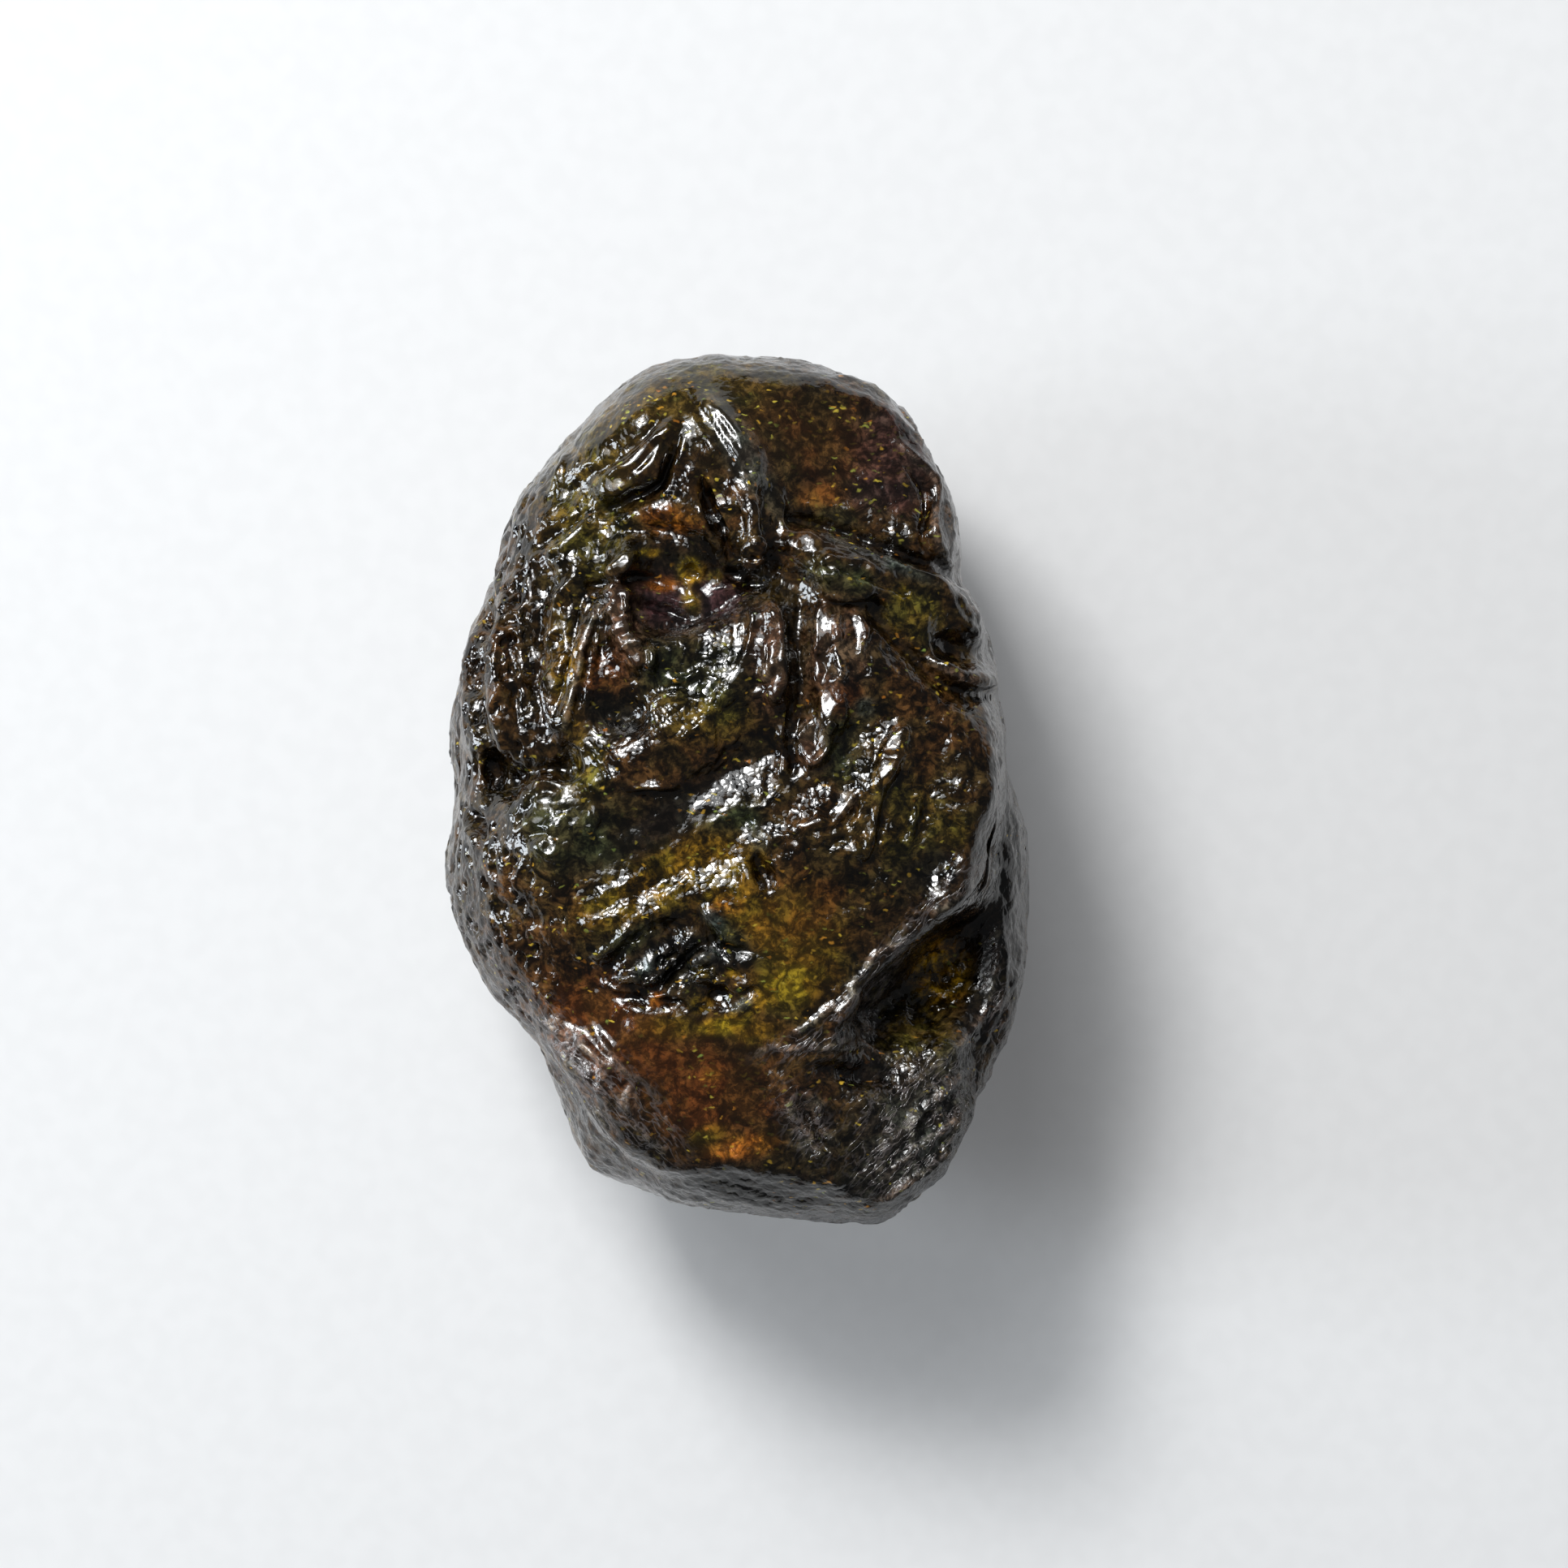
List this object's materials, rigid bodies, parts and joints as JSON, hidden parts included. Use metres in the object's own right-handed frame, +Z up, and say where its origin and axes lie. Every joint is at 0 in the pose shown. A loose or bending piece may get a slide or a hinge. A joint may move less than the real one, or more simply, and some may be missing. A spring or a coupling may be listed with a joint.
{
  "type": "blue amber nodule",
  "caption": "Rough oval blue amber nodule with a folded glossy face, lying on a small flat worn spot on its back.",
  "frame": {"origin": "on the surface the nodule rests on, under the middle of its outline seen from above", "axes": "+Z up, out of the folded face; +Y along the length, towards the smooth crown end; +X to the right when the face is seen from above with the crown end up"},
  "size_m": [0.0256, 0.0382, 0.02],
  "materials": {
    "dark_amber": "wet-looking natural amber: almost black olive brown, see-through in thin places, with golden and red-brown patches and a faint blue-grey surface tint"
  },
  "bodies": {
    "root": {"amber_nodule": "dark_amber"}
  },
  "joints": []
}
